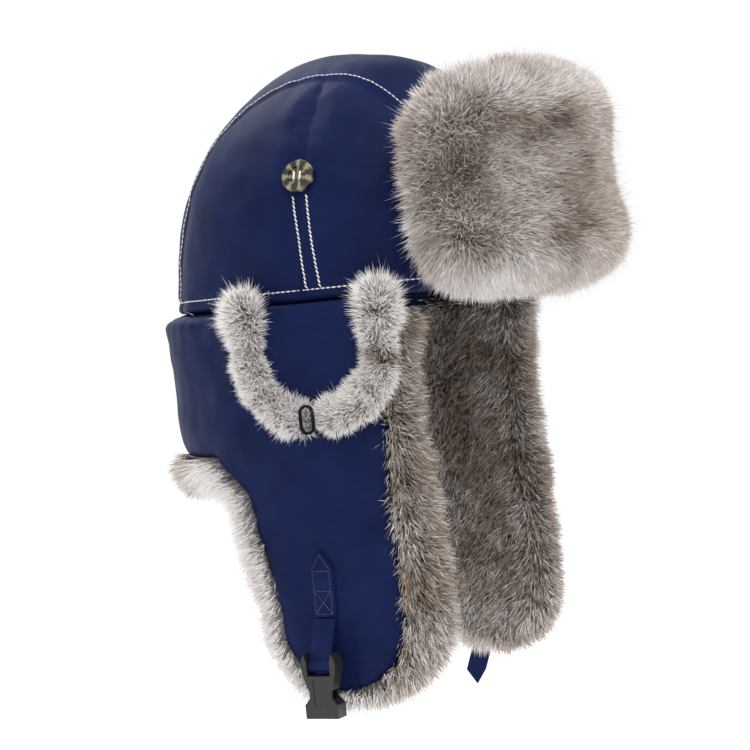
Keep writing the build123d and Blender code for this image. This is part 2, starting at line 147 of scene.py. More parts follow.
# Polished horn: olive and dark wedges that run out from the middle
def hornMaterial(name, center, axisUp, axisSide):
    mat, tree, shader = newMaterial(name, (0.2, 0.16, 0.07), 0.22, Coat_Weight=0.25, Coat_Roughness=0.1)
    coord = addNode(tree, "ShaderNodeTexCoord")
    move = addNode(tree, "ShaderNodeVectorMath", operation="SUBTRACT")
    move.inputs[1].default_value = center
    tree.links.new(coord.outputs["Object"], move.inputs[0])
    parts = []
    for axis in (axisSide, axisUp):
        dot = addNode(tree, "ShaderNodeVectorMath", operation="DOT_PRODUCT")
        dot.inputs[1].default_value = axis
        tree.links.new(move.outputs[0], dot.inputs[0])
        parts.append(dot.outputs["Value"])
    angle = addNode(tree, "ShaderNodeMath", operation="ARCTAN2")
    tree.links.new(parts[0], angle.inputs[0])
    tree.links.new(parts[1], angle.inputs[1])
    wobble = addNode(tree, "ShaderNodeTexNoise", Scale=420.0, Detail=2.0)
    tree.links.new(coord.outputs["Object"], wobble.inputs["Vector"])
    turns = addNode(tree, "ShaderNodeMath", operation="MULTIPLY_ADD")
    turns.inputs[1].default_value = 7.0
    tree.links.new(angle.outputs[0], turns.inputs[0])
    shake = addNode(tree, "ShaderNodeMath", operation="MULTIPLY")
    shake.inputs[1].default_value = 4.2
    tree.links.new(wobble.outputs["Fac"], shake.inputs[0])
    tree.links.new(shake.outputs[0], turns.inputs[2])
    wave = addNode(tree, "ShaderNodeMath", operation="SINE")
    tree.links.new(turns.outputs[0], wave.inputs[0])
    lift = addNode(tree, "ShaderNodeMath", operation="MULTIPLY_ADD")
    lift.inputs[1].default_value = 0.5
    lift.inputs[2].default_value = 0.5
    tree.links.new(wave.outputs[0], lift.inputs[0])
    color = colorRamp(tree, lift.outputs[0], [(0.0, (0.006, 0.005, 0.003)), (0.38, (0.018, 0.013, 0.007)),
                                              (0.6, (0.085, 0.07, 0.03)), (1.0, (0.27, 0.235, 0.13))])
    tree.links.new(color, shader.inputs["Base Color"])
    return mat


blackPlastic = mottledMaterial("blackPlastic", (0.006, 0.006, 0.0065), (0.015, 0.015, 0.016), 0.38,
                               1400.0, 0.12)
steel = mottledMaterial("steel", (0.5, 0.5, 0.48), (0.68, 0.68, 0.66), 0.28, 700.0, 0.05, Metallic=1.0)
print("materials made")


# Shapes on the oval of the hat

# All of these are in mm; sunk is how far the cloth's base lies inside the crown's outline
crown = {"rx": 93.5, "ry": 112.0, "rz": 137.0, "stripTop": 42.0, "stripHem": 56.0, "sideSeam": -12.0,
         "sunk": 0.6, "stitchLow": 5.0}
oval = {"rx": 98.0, "ry": 116.5, "top": -1.5, "perRadian": 107.0}


# along is measured round the oval in mm from the side's middle, to the back when positive
def ovalPlace(side, along, z, out, rx=None, ry=None):
    rx = rx or oval["rx"]
    ry = ry or oval["ry"]
    phi = along / oval["perRadian"]
    x, y = math.cos(phi), math.sin(phi)
    normal = Vector((x / rx, y / ry, 0)).normalized()
    point = Vector((x * rx, y * ry, z)) + normal * out
    return Vector((side * point.x, point.y, point.z)) * mm


def alongAt(y, ry=None):
    return math.asin(max(-1.0, min(1.0, y / (ry or oval["ry"])))) * oval["perRadian"]


def fromMesh(name, bm, *mats):
    mesh = bpy.data.meshes.new(name)
    bm.to_mesh(mesh)
    bm.free()
    piece = bpy.data.objects.new(name, mesh)
    bpy.context.scene.collection.objects.link(piece)
    for mat in mats:
        mesh.materials.append(mat)
    mesh.polygons.foreach_set("use_smooth", [True] * len(mesh.polygons))
    return piece


def relaxRim(bm, rounds):
    rim = [v for v in bm.verts if v.is_boundary]
    near = {v: [e.other_vert(v) for e in v.link_edges if e.is_boundary] for v in rim}
    for _ in range(rounds):
        fresh = {v: v.co * 0.5 + sum((n.co for n in near[v]), Vector()) * (0.5 / len(near[v])) for v in rim}
        for v, co in fresh.items():
            v.co = co
    inner = [v for v in bm.verts if not v.is_boundary]
    for _ in range(2):
        bmesh.ops.smooth_vert(bm, verts=inner, factor=0.5, use_axis_x=True, use_axis_y=True)


# A padded sheet: a grid cut to an outline, given two faces that swell away from its rim
def padSheet(name, inside, place, spanA, spanZ, cell, front, back, rimWidth, mats, relief=None, seamAt=1e9):
    bm = bmesh.new()
    countA = max(2, round((spanA[1] - spanA[0]) / cell))
    countZ = max(2, round((spanZ[1] - spanZ[0]) / cell))
    bmesh.ops.create_grid(bm, x_segments=countA, y_segments=countZ, size=1.0)
    for v in bm.verts:
        acrossHere = mixIn(spanA[0], spanA[1], (v.co.x + 1) / 2)
        downHere = mixIn(spanZ[0], spanZ[1], (v.co.y + 1) / 2)
        v.co = Vector((acrossHere, downHere, 0))
    gone = [f for f in bm.faces if not inside(f.calc_center_median().x, f.calc_center_median().y)]
    bmesh.ops.delete(bm, geom=gone, context="FACES")
    ragged = [v for v in bm.verts if v.is_boundary and len([e for e in v.link_edges if e.is_boundary]) != 2]
    bmesh.ops.delete(bm, geom=ragged, context="VERTS")
    relaxRim(bm, 5)
    # an edge past seamAt meets the other half, so it counts as middle, not rim
    rim = [v.co.copy() for v in bm.verts if v.is_boundary and v.co.x < seamAt]
    shut = {(round(v.co.x, 3), round(v.co.y, 3)) for v in bm.verts if v.is_boundary}
    tree = KDTree(len(rim))
    for i, co in enumerate(rim):
        tree.insert(co, i)
    tree.balance()
    deep = bm.verts.layers.float.new("deep")
    face = bm.verts.layers.float.new("face")
    along = bm.verts.layers.float.new("along")
    down = bm.verts.layers.float.new("down")
    for v in bm.verts:
        v[deep] = tree.find(v.co)[2]
        v[along], v[down] = v.co.x, v.co.y
    copy = bmesh.ops.duplicate(bm, geom=bm.verts[:] + bm.edges[:] + bm.faces[:])["geom"]
    backVerts = [g for g in copy if isinstance(g, bmesh.types.BMVert)]
    bmesh.ops.reverse_faces(bm, faces=[g for g in copy if isinstance(g, bmesh.types.BMFace)])
    backSet = set(backVerts)
    for v in bm.verts:
        isBack = v in backSet
        v[face] = -1.0 if isBack else 1.0
        t = min(1.0, v[deep] / rimWidth)
        swell = math.sqrt(max(0.0, 1 - (1 - t) ** 2))
        out = -back * swell if isBack else front * swell
        if relief:
            out += relief(v[along], v[down], v[deep], isBack) * min(1.0, v[deep] / 2.0)
        if (round(v.co.x, 3), round(v.co.y, 3)) in shut:
            out = 0.0
        v.co = place(v[along], v[down], out)
    bmesh.ops.remove_doubles(bm, verts=bm.verts, dist=0.00002)
    piece = fromMesh(name, bm, *mats)
    return piece


def faceOut(piece):
    bm = bmesh.new()
    bm.from_mesh(piece.data)
    bmesh.ops.recalc_face_normals(bm, faces=bm.faces)
    bm.to_mesh(piece.data)
    bm.free()


def applyAll(piece):
    graph = bpy.context.evaluated_depsgraph_get()
    mesh = bpy.data.meshes.new_from_object(piece.evaluated_get(graph), depsgraph=graph)
    piece.modifiers.clear()
    piece.data = mesh


# Fur: small blades scattered over a pelt, combed by the pelt's own attribute

hairs = {
    "silver": ((0.11, 0.094, 0.084), (0.68, 0.62, 0.585)),
    "white": ((0.40, 0.375, 0.36), (0.93, 0.90, 0.885)),
    "grey": ((0.06, 0.05, 0.044), (0.40, 0.352, 0.32)),
    "brown": ((0.055, 0.039, 0.028), (0.30, 0.213, 0.15)),
    "dark": ((0.030, 0.024, 0.02), (0.15, 0.122, 0.103)),
    "tan": ((0.12, 0.086, 0.062), (0.47, 0.365, 0.28)),
}
hairMats = {}
for hairName, (rootColor, tipColor) in hairs.items():
    for partName, color in (("Root", rootColor), ("Tip", tipColor)):
        hairMats[hairName + partName] = newMaterial(hairName + partName, color, 0.55, Sheen_Weight=0.15)[0]


def makeBlade(name, kind, curve):
    bm = bmesh.new()
    rows = [(0.0, 0.5), (0.52, 0.4)]
    last = None
    for height, half in rows:
        bend = curve * height * height
        pair = [bm.verts.new((-half, bend, height)), bm.verts.new((half, bend, height))]
        if last:
            face = bm.faces.new((last[0], last[1], pair[1], pair[0]))
            face.material_index = 0
        last = pair
    face = bm.faces.new((last[0], last[1], bm.verts.new((0, curve, 1.0))))
    face.material_index = 1
    blade = fromMesh(name, bm, hairMats[kind + "Root"], hairMats[kind + "Tip"])
    bpy.context.scene.collection.objects.unlink(blade)
    return blade


# palette: from dark to light, the pelt's tint picks along it
palettes = {
    "lining": ["dark", "brown", "grey", "tan", "silver", "white"],
    "cover": ["grey", "tan", "silver", "silver", "white", "white"],
    "visor": ["dark", "brown", "grey", "tan", "silver", "silver", "silver", "white"],
}
bladeSets = {}
for palette, kinds in palettes.items():
    folder = bpy.data.collections.new("blades_" + palette)
    for i, kind in enumerate(kinds):
        folder.objects.link(makeBlade(f"{palette}Blade{i}", kind, 0.2 if i % 2 else -0.12))
    bladeSets[palette] = folder


def furTree(folder, count, density, seed, width, spread, mixed, lengths):
    tree = bpy.data.node_groups.new("scatterFur", "GeometryNodeTree")
    tree.interface.new_socket("Geometry", in_out="INPUT", socket_type="NodeSocketGeometry")
    tree.interface.new_socket("Geometry", in_out="OUTPUT", socket_type="NodeSocketGeometry")
    n, link = tree.nodes.new, tree.links.new
    inp, out = n("NodeGroupInput"), n("NodeGroupOutput")

    def attribute(name, kind):
        node = n("GeometryNodeInputNamedAttribute")
        node.data_type = kind
        node.inputs["Name"].default_value = name
        return node.outputs["Attribute"]

    def chance(low, high, seedAdd, kind="FLOAT"):
        node = n("FunctionNodeRandomValue")
        node.data_type = kind
        slots = [s for s in node.inputs if s.enabled and s.name in ("Min", "Max")]
        slots[0].default_value, slots[1].default_value = low, high
        [s for s in node.inputs if s.name == "Seed"][0].default_value = seed * 10 + seedAdd
        return [s for s in node.outputs if s.enabled][0]

    def maths(kind, a, b=None):
        node = n("ShaderNodeMath")
        node.operation = kind
        for slot, value in zip(node.inputs, (a, b)):
            if value is None:
                continue
            if isinstance(value, (int, float)):
                slot.default_value = value
            else:
                link(value, slot)
        return node.outputs[0]

    points = n("GeometryNodeDistributePointsOnFaces")
    points.distribute_method = "RANDOM"
    link(inp.outputs[0], points.inputs["Mesh"])
    link(maths("MULTIPLY", attribute("cover", "FLOAT"), density), points.inputs["Density"])
    points.inputs["Seed"].default_value = seed
    shake = chance((-1, -1, -1), (1, 1, 1), 1, "FLOAT_VECTOR")
    scaled = n("ShaderNodeVectorMath")
    scaled.operation = "SCALE"
    link(shake, scaled.inputs[0])
    scaled.inputs["Scale"].default_value = spread
    aim = n("ShaderNodeVectorMath")
    aim.operation = "ADD"
    link(attribute("comb", "FLOAT_VECTOR"), aim.inputs[0])
    link(scaled.outputs[0], aim.inputs[1])
    turn = n("FunctionNodeAlignRotationToVector")
    turn.axis = "Z"
    link(aim.outputs[0], turn.inputs["Vector"])
    spin = n("FunctionNodeRotateRotation")
    spin.rotation_space = "LOCAL"
    link(turn.outputs[0], spin.inputs[0])
    toRotation = n("FunctionNodeAxisAngleToRotation")
    toRotation.inputs["Axis"].default_value = (0, 0, 1)
    link(chance(0.0, 6.283, 2), toRotation.inputs["Angle"])
    link(toRotation.outputs[0], spin.inputs[1])
    pick = n("GeometryNodeCollectionInfo")
    pick.inputs["Collection"].default_value = folder
    pick.inputs["Separate Children"].default_value = True
    pick.inputs["Reset Children"].default_value = True
    index = maths("ADD", maths("MULTIPLY", attribute("tint", "FLOAT"), count), chance(-mixed, mixed, 3))
    index = maths("FLOOR", maths("MINIMUM", maths("MAXIMUM", index, 0.0), count - 0.5))
    instances = n("GeometryNodeInstanceOnPoints")
    link(points.outputs["Points"], instances.inputs["Points"])
    link(pick.outputs[0], instances.inputs["Instance"])
    instances.inputs["Pick Instance"].default_value = True
    link(index, instances.inputs["Instance Index"])
    link(spin.outputs[0], instances.inputs["Rotation"])
    size = n("ShaderNodeCombineXYZ")
    length = maths("MULTIPLY", attribute("pile", "FLOAT"), chance(lengths[0], lengths[1], 4))
    size.inputs["X"].default_value = width
    link(length, size.inputs["Y"])
    link(length, size.inputs["Z"])
    link(size.outputs[0], instances.inputs["Scale"])
    real = n("GeometryNodeRealizeInstances")
    link(instances.outputs[0], real.inputs[0])
    link(real.outputs[0], out.inputs[0])
    return tree


# density is blades per square metre where the pelt's cover is 1
def growFur(pelt, name, palette, density, width, spread, seed, mixed=0.9, lengths=(0.62, 1.08)):
    strands = bpy.data.objects.new(name, pelt.data.copy())
    bpy.context.scene.collection.objects.link(strands)
    mod = strands.modifiers.new("fur", "NODES")
    mod.node_group = furTree(bladeSets[palette], len(palettes[palette]), density, seed, width, spread,
                             mixed, lengths)
    applyAll(strands)
    bpy.data.node_groups.remove(bpy.data.node_groups["scatterFur"])
    tris = sum(len(p.vertices) - 2 for p in strands.data.polygons)
    print(name, "blades", tris // 3, "triangles", tris)
    return strands


# comb is a function of position, normal and the sheet's own measures
def groom(pelt, comb):
    mesh = pelt.data
    n = len(mesh.vertices)
    mesh.attributes.new("comb", "FLOAT_VECTOR", "POINT")
    for key in ("pile", "tint", "cover"):
        mesh.attributes.new(key, "FLOAT", "POINT")
    rows = {"comb": [0.0] * (3 * n), "pile": [0.0] * n, "tint": [0.0] * n, "cover": [0.0] * n}
    get = {key: mesh.attributes[key].data for key in ("along", "down", "deep", "face")}
    for i, v in enumerate(mesh.vertices):
        measures = [get[key][i].value for key in ("along", "down", "deep", "face")]
        way, pile, tint, cover = comb(v.co, v.normal, *measures)
        rows["comb"][3 * i:3 * i + 3] = way.normalized()
        rows["pile"][i], rows["tint"][i], rows["cover"][i] = pile * mm, tint, cover
    mesh.attributes["comb"].data.foreach_set("vector", rows["comb"])
    for key in ("pile", "tint", "cover"):
        mesh.attributes[key].data.foreach_set("value", rows[key])


# A little shared lean, the same for blades in one tuft
def tuft(co, size, amount, seed=0.0):
    p = co / (size * mm) + Vector((seed, seed * 1.7, -seed))
    return noise.noise_vector(p) * amount


def cloud(co, size, seed=0.0):
    return noise.noise(co / (size * mm) + Vector((seed, -seed, seed * 0.5)))


# Pelt under the fur: coloured darker than the blades on it, as painted shade of the deep pile between them
def paintedShadeSkin(name, dark, light):
    mat, tree, shader = newMaterial(name, dark, 0.9)
    coord = addNode(tree, "ShaderNodeTexCoord")
    spots = addNode(tree, "ShaderNodeTexNoise", Scale=160.0, Detail=4.0)
    tree.links.new(coord.outputs["Object"], spots.inputs["Vector"])
    color = colorRamp(tree, spots.outputs["Fac"], [(0.3, dark), (0.75, light)])
    tree.links.new(color, shader.inputs["Base Color"])
    return mat


# painted shade of the pile: dark under the lining and visor fur, lighter grey under the white cover fur
peltDarkPaintedShade = paintedShadeSkin("peltDarkPaintedShade", (0.02, 0.016, 0.014), (0.08, 0.068, 0.06))
peltLightPaintedShade = paintedShadeSkin("peltLightPaintedShade", (0.09, 0.08, 0.072), (0.3, 0.28, 0.26))
sideName = {-1: "right", 1: "left"}


# Crown

def stripHalf(z):
    return crown["stripHem"] + (crown["stripTop"] - crown["stripHem"]) * min(1.0, z / 121.0)


# How far the padded cloth stands off its plain oval, in mm
def crownRelief(x, y, z):
    stripGap = abs(abs(x) - stripHalf(z)) * 0.94
    sideGap = abs(y - crown["sideSeam"]) if abs(x) > stripHalf(z) else 99.0
    gap = min(stripGap, sideGap)
    p = Vector((x, y, z))
    out = 1.5 * smooth(0.0, 15.0, gap) - 1.3 * math.exp(-(gap / 1.5) ** 2)
    runAlong = math.atan2(z, y) * 100 if stripGap < sideGap else z * 1.1
    pucker = noise.noise(Vector((runAlong / 5.5, gap / 26.0, 3.0 if stripGap < sideGap else 9.0)))
    out += 0.75 * pucker * math.exp(-gap / 9.0) * smooth(0.0, 2.0, gap)
    out += 2.1 * noise.noise(p / 44.0 + Vector((4, 1, 7))) + 0.8 * noise.noise(p / 16.0)
    out += 5.0 * smooth(0.0, -50.0, y) * smooth(80.0, 125.0, z) * smooth(4.0, 30.0, crown["rz"] - z + 12.0)
    hem = noise.noise(Vector((math.atan2(y, x) * 19.0, z / 11.0, 5.0)))
    out += 0.9 * hem * smooth(26.0, 6.0, z) * smooth(0.5, 5.0, z)
    out -= 1.0 * math.exp(-((z - 5.0) / 1.6) ** 2)
    return out


def makeCrown():
    bm = bmesh.new()
    bmesh.ops.create_uvsphere(bm, u_segments=220, v_segments=170, radius=1.0)
    bmesh.ops.bisect_plane(bm, geom=bm.verts[:] + bm.edges[:] + bm.faces[:], dist=1e-6,
                           plane_co=(0, 0, 0), plane_no=(0, 0, 1), clear_inner=True)
    rx, ry, rz = (crown[k] - crown["sunk"] for k in ("rx", "ry", "rz"))
    for v in bm.verts:
        x, y, z = v.co.x * rx, v.co.y * ry, v.co.z * rz
        normal = Vector((x / rx ** 2, y / ry ** 2, z / rz ** 2)).normalized()
        v.co = (Vector((x, y, z)) + normal * crownRelief(x, y, z)) * mm
    edge = [e for e in bm.edges if e.is_boundary]
    # the hem turns in, and at the back a facing hangs behind the curtain
    hemRows = ((1.6, -1.6, 0), (5.0, -1.9, 0), (7.0, -2.0, 1), (8.6, -1.8, 1), (9.4, 0.4, 0))
    for inset, lift, facing in hemRows:
        fresh = bmesh.ops.extrude_edge_only(bm, edges=edge)["geom"]
        verts = [g for g in fresh if isinstance(g, bmesh.types.BMVert)]
        for v in verts:
            phi = math.atan2(v.co.y / crown["ry"], v.co.x / crown["rx"])
            y = (crown["ry"] - inset) * math.sin(phi)
            low = lift - facing * 18.0 * smooth(-10.0, 30.0, y)
            v.co = Vector(((crown["rx"] - inset) * math.cos(phi), y, low)) * mm
        edge = [g for g in fresh if isinstance(g, bmesh.types.BMEdge)]
    bmesh.ops.recalc_face_normals(bm, faces=bm.faces)
    piece = fromMesh("crownCover", bm, navyCloth)
    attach(piece, "crown")
    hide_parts("crown_center_panel", "crown_side_front_right", "crown_side_back_right",
                "crown_side_front_left", "crown_side_back_left", "crown_padding")
    return piece


def crownPoint(x, y, z, out):
    rx, ry, rz = (crown[k] - crown["sunk"] for k in ("rx", "ry", "rz"))
    normal = Vector((x / rx ** 2, y / ry ** 2, z / rz ** 2)).normalized()
    return (Vector((x, y, z)) + normal * (crownRelief(x, y, z) + out)) * mm, normal


# Stitches are small spindles laid end to end along a line of points
def stitchLine(name, points, pitch, length, radius, mat, slant=0.0):
    bm = bmesh.new()
    run, due = 0.0, pitch / 2
    for (a, na), (b, nb) in zip(points, points[1:]):
        step = (b - a).length / mm
        while due < run + step:
            t = (due - run) / step
            center, normal = a.lerp(b, t), na.lerp(nb, t).normalized()
            way = (b - a).normalized()
            way = (Matrix.Rotation(slant, 3, normal) @ way).normalized()
            side = normal.cross(way).normalized()
            turn = Matrix((way, side, normal)).transposed().to_4x4()
            turn.translation = center
            shape = Matrix.Diagonal((length / 2 * mm, radius * mm, radius * mm * 0.9, 1))
            lay = turn @ shape @ Matrix.Rotation(math.pi / 2, 4, "Y")
            bmesh.ops.create_uvsphere(bm, u_segments=8, v_segments=6, radius=1.0, matrix=lay)
            due += pitch
        run += step
    return fromMesh(name, bm, mat)


makeCrown()
print("crown made")


def ovalHemPoints():
    points = []
    for i in range(241):
        phi = i / 240 * 2 * math.pi
        k = math.sqrt(1 - (crown["stitchLow"] / crown["rz"]) ** 2)
        x = (crown["rx"] - crown["sunk"]) * k * math.cos(phi)
        y = (crown["ry"] - crown["sunk"]) * k * math.sin(phi)
        points.append(crownPoint(x, y, crown["stitchLow"], 0.15))
    return points


# Along the strip's seam from the back hem over the top to the front hem
def stripSeamPoints(side, offset):
    points = []
    for i in range(181):
        psi = math.radians(2.5 + 175.0 * i / 180)
        z = (crown["rz"] - crown["sunk"]) * math.sin(psi) * 0.9
        for _ in range(4):
            x = stripHalf(z) + offset
            k = math.sqrt(max(0.02, 1 - (x / (crown["rx"] - crown["sunk"])) ** 2))
            z = (crown["rz"] - crown["sunk"]) * k * math.sin(psi)
        y = (crown["ry"] - crown["sunk"]) * k * math.cos(psi)
        points.append(crownPoint(side * x, y, z, 0.15))
    return points


topStitch = {"pitch": 3.1, "length": 2.7, "hemRadius": 0.42, "seamRadius": 0.36, "inset": 3.2}
ropeStitch = {"pitch": 2.5, "length": 2.8, "radius": 0.46, "slant": 0.4, "low": 5.5, "high": 57.0,
              "apart": 8.0, "count": 40, "tiltFrom": 60.0, "tilt": -8.5}
hemStitch = stitchLine("hemStitch", ovalHemPoints(), topStitch["pitch"], topStitch["length"],
                       topStitch["hemRadius"], whiteThread)
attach(hemStitch, "crown")
for side in (-1, 1):
    seam = stitchLine(sideName[side] + "StripStitch", stripSeamPoints(side, -topStitch["inset"]),
                      topStitch["pitch"], topStitch["length"], topStitch["seamRadius"], whiteThread)
    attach(seam, "crown")
    for k, lean in ((0, -ropeStitch["apart"] / 2), (1, ropeStitch["apart"] / 2)):
        points = []
        for i in range(ropeStitch["count"] + 1):
            z = ropeStitch["low"] + (ropeStitch["high"] - ropeStitch["low"]) * i / ropeStitch["count"]
            y = lean + crown["sideSeam"] + (1 - z / ropeStitch["tiltFrom"]) * ropeStitch["tilt"]
            left = 1 - (z / (crown["rz"] - crown["sunk"])) ** 2 - (y / (crown["ry"] - crown["sunk"])) ** 2
            x = side * (crown["rx"] - crown["sunk"]) * math.sqrt(left)
            points.append(crownPoint(x, y, z, 0.25))
        rope = stitchLine(f"{sideName[side]}RopeStitch{k}", points, ropeStitch["pitch"], ropeStitch["length"],
                          ropeStitch["radius"], whiteThread, slant=ropeStitch["slant"])
        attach(rope, "crown")
print("crown stitches made")


# Curtain: the neck piece and the two ear flaps

# middle is where the flap's front corner ends and its back corner begins, both in mm along the head
flap = {"frontTop": -68.0, "frontLow": -54.0, "slant": 179.0, "drop": 213.0, "neck": 84.0, "middle": -20.0,
        "frontRound": 34.0, "backWide": 44.0, "backRound": 54.0}


def flapInside(y, z, grow=0.0, low=0.0):
    front = mixIn(flap["frontTop"], flap["frontLow"], min(1.0, -z / flap["slant"])) - grow
    bottom = -flap["drop"] - low
    if y < front:
        return False
    if y < flap["middle"]:
        t = (flap["middle"] - y) / (flap["frontRound"] + grow)
        return t < 1 and z > bottom + flap["frontRound"] * (1 - math.sqrt(1 - t * t))
    wide = grow * 0.6
    if y < 20 + wide + 14.0 * smooth(-172.0, -104.0, z) + 22.0 * smooth(-108.0, -84.0, z):
        t = (y - flap["middle"]) / (flap["backWide"] + wide)
        return z > -150 or (t < 1 and z > bottom + flap["backRound"] * (1 - math.sqrt(1 - t * t)))
    return False


def curtainInside(a, z):
    y = oval["ry"] * math.sin(a / oval["perRadian"])
    if z > oval["top"]:
        return False
    return flapInside(y, z) or (y > 20 and z > -flap["neck"])


def curtainRelief(a, z, deep, isBack):
    if isBack:
        return 0.0
    p = Vector((a, z, 0))
    out = 1.7 * noise.noise(p / 34.0) + 0.8 * noise.noise(p / 13.0 + Vector((3, 3, 3)))
    out += 1.1 * noise.noise(Vector((a / 6.5, z / 24.0, 2.0))) * smooth(-34.0, -4.0, z)
    out += 0.9 * noise.noise(Vector((a / 30.0, z / 7.0, 7.0))) * smooth(16.0, 3.0, deep)
    out += 2.6 * smooth(-20.0, -6.0, z)
    # pressed flat where the strap is sewn down
    under = smooth(18.0, 10.0, abs(a - alongAt(-11.0))) * smooth(-122.0, -132.0, z)
    return mixIn(out, -2.4, under)


backMiddle = math.pi / 2 * oval["perRadian"]
backSeam = backMiddle - 2.0
curtainLow, liningLow = -216.0, -224.0
# where the cloth and its lining turn from following the crown to following the flap
crease = {"startY": 0.060, "endY": 0.029, "endZ": -0.0124}


def creaseEnds(side):
    start = (side * 0.1, crease["startY"], 0.0)
    end = (side * 0.1, crease["endY"], crease["endZ"])
    return start, end


for side in (-1, 1):
    start, end = creaseEnds(side)
    cloth = padSheet(sideName[side] + "CurtainCloth", curtainInside,
                     lambda a, z, out: ovalPlace(side, a, z, out - 3.0 - 7.0 * smooth(-8.0, -1.0, z)),
                     (alongAt(-70), backMiddle + 0.9), (curtainLow, oval["top"]), 2.4, 5.2, 2.6, 20.0,
                     [navyCloth], curtainRelief, backSeam)
    faceOut(cloth)
    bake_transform(cloth)
    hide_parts(sideName[side] + "_earflap_shell", sideName[side] + "_earflap_padding",
                *(["neck_shell"] if side == -1 else []))
print("curtain cloth made")


def liningInside(a, z):
    y = oval["ry"] * math.sin(a / oval["perRadian"])
    if z > oval["top"] - 5:
        return False
    grow = mixIn(9.0, 17.0, smooth(-20.0, -160.0, z)) + 7.0 * smooth(-50.0, -10.0, z)
    return flapInside(y, z, grow, 4.0) or (y > 20 and z > -flap["neck"] - 11)


def liningComb(side):
    def comb(co, normal, a, z, deep, face):
        y = oval["ry"] * math.sin(a / oval["perRadian"])
        outward = Vector((co.x, co.y * 0.7, 0)).normalized()
        neck = y > 32
        inCloth = curtainInside(a, z)
        beside = any(curtainInside(a + da, z + dz) for da, dz in ((0, 5), (5, 0), (-5, 0)))
        rim = smooth(12.0, 1.0, deep) * smooth(-6.0, -20.0, z)
        front = smooth(-20.0, -44.0, y)
        away = Vector((0, 0, -1))
        if not neck and rim > 0.05:
            # from the flap's middle line out through its rim
            away = Vector((0, y + 18.0, (z + 150.0) if z < -150 else 0.0))
            away = away.normalized() if away.length > 1 else Vector((0, 0, -1))
        if face > 0:
            rim = 1.0
        # blades beside the cloth stand up past its edge, the rest lie outwards
        rise = 0.85 if beside else 0.35 if face > 0 else 0.6
        lean = 0.35 + (0.0 if beside else 0.6) * rim
        way = normal * rise + away * lean + Vector((0, 0, -0.55)) + outward * 0.3 * rim
        way += tuft(co, 5.0, 0.55, 3.0) + tuft(co, 16.0, 0.45, 8.0)
        pile = mixIn(11.0, 14.0, rim) + (5.0 * rim if neck else 0.0)
        tint = 0.56 + 0.25 * cloud(co, 24.0, 5.0) + 0.12 * cloud(co, 8.0, 2.0)
        tint += rim * (1 - front) * 0.3 + 0.14 * smooth(-150.0, -205.0, z) + 0.3 * smooth(-8.0, 18.0, y)
        if neck:
            tint += 0.05 - 0.55 * rim * smooth(66.0, 92.0, y)
            way += outward * 0.7 * rim + Vector((0, 0.5 * rim, 0))
        cover = 0.0 if (face > 0 and inCloth) or a > backSeam - 2 else mixIn(0.8, 1.9, rim)
        return way, pile, tint, cover * smooth(-7.0, -14.0, z)
    return comb


for side in (-1, 1):
    pelt = padSheet(sideName[side] + "LiningPelt", liningInside,
                    lambda a, z, out: ovalPlace(side, a, z, out - 9.0),
                    (alongAt(-86), backMiddle + 0.6), (liningLow, oval["top"] - 4), 2.6, 3.0, 3.0, 8.0,
                    [peltDarkPaintedShade], None, backSeam)
    faceOut(pelt)
    groom(pelt, liningComb(side))
    start, end = creaseEnds(side)
    coarse = growFur(pelt, sideName[side] + "LiningFur", "lining", 0.85e6, 0.0009, 0.3, 11 + side, 1.9)
    fine = growFur(pelt, sideName[side] + "LiningFurFine", "lining", 0.85e6, 0.0006, 0.45, 21 + side, 1.9)
    pieces = [pelt, coarse, fine]
    for piece in pieces:
        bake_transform(piece)
    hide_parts(sideName[side] + "_earflap_fur", *(["neck_fur"] if side == -1 else []))
print("lining made")


# Ear covers

cover = {"center": -19.0, "half": 31.0, "drop": 59.0, "furHalf": 46.0, "furDrop": 78.0}


# A tongue: straight sides that draw in a little, and a round end
def dropInside(a, z, half, drop, top):
    width = half * mixIn(1.0, 0.88, min(1.0, -z / drop))
    d = abs(a - alongAt(cover["center"]))
    if z > top or d > width:
        return False
    low = -drop + half * 0.8
    return z > low or z > low - 0.8 * half * math.sqrt(max(0.0, 1 - (d / width) ** 2))


def tongueInside(a, z):
    return dropInside(a, z, cover["half"] + 4, cover["drop"] + 4, -2.0)


def tongueRelief(a, z, deep, isBack):
    return 0.0 if isBack else 0.5 * noise.noise(Vector((a, z, 5)) / 9.0)


def coverPlace(side):
    return lambda a, z, out: ovalPlace(side, a, z, out + 2.6, oval["rx"] - 0.3, oval["ry"] - 0.3)


def coverComb(side):
    def comb(co, normal, a, z, deep, face):
        mid = alongAt(cover["center"])
        away = Vector((0, a - mid, min(0.0, z + 46.0)))
        away = away.normalized() if away.length > 1 else Vector((0, 0, -1))
        outer = smooth(26.0, 46.0, math.hypot(a - mid, min(0.0, z + 46.0)))
        way = normal * 0.9 + away * mixIn(-0.45, 0.75, outer) + Vector((side * 0.45, 0, -0.2))
        if z > -14:
            way += Vector((side * 0.2, 0, 0.8 * smooth(-14.0, -3.0, z)))
        way += tuft(co, 5.0, 0.75, 1.0) + tuft(co, 16.0, 0.45, 4.0)
        tint = 1.02 + 0.45 * cloud(co, 13.0, 7.0) + 0.25 * cloud(co, 6.0, 3.0)
        # painted shade: darker where the front strip is pieced (a painted seam shadow), and painted shade
        # down in the split below the tongue
        tint -= 0.9 * math.exp(-(math.hypot(a - mid + 36.0, z + 34.0) / 5.5) ** 2)
        tint -= 0.7 * smooth(5.0, 1.0, abs(a - mid)) * smooth(-52.0, -60.0, z)
        pile = 8.0 + 5.0 * smooth(-26.0, -6.0, z) + 3.5 * cloud(co, 9.0, 5.0)
        pile *= mixIn(0.45, 1.0, smooth(0.5, 5.0, abs(a - mid)))
        return way, pile, tint, (0.15 if face < 0 and deep > 4 else 1.0)
    return comb


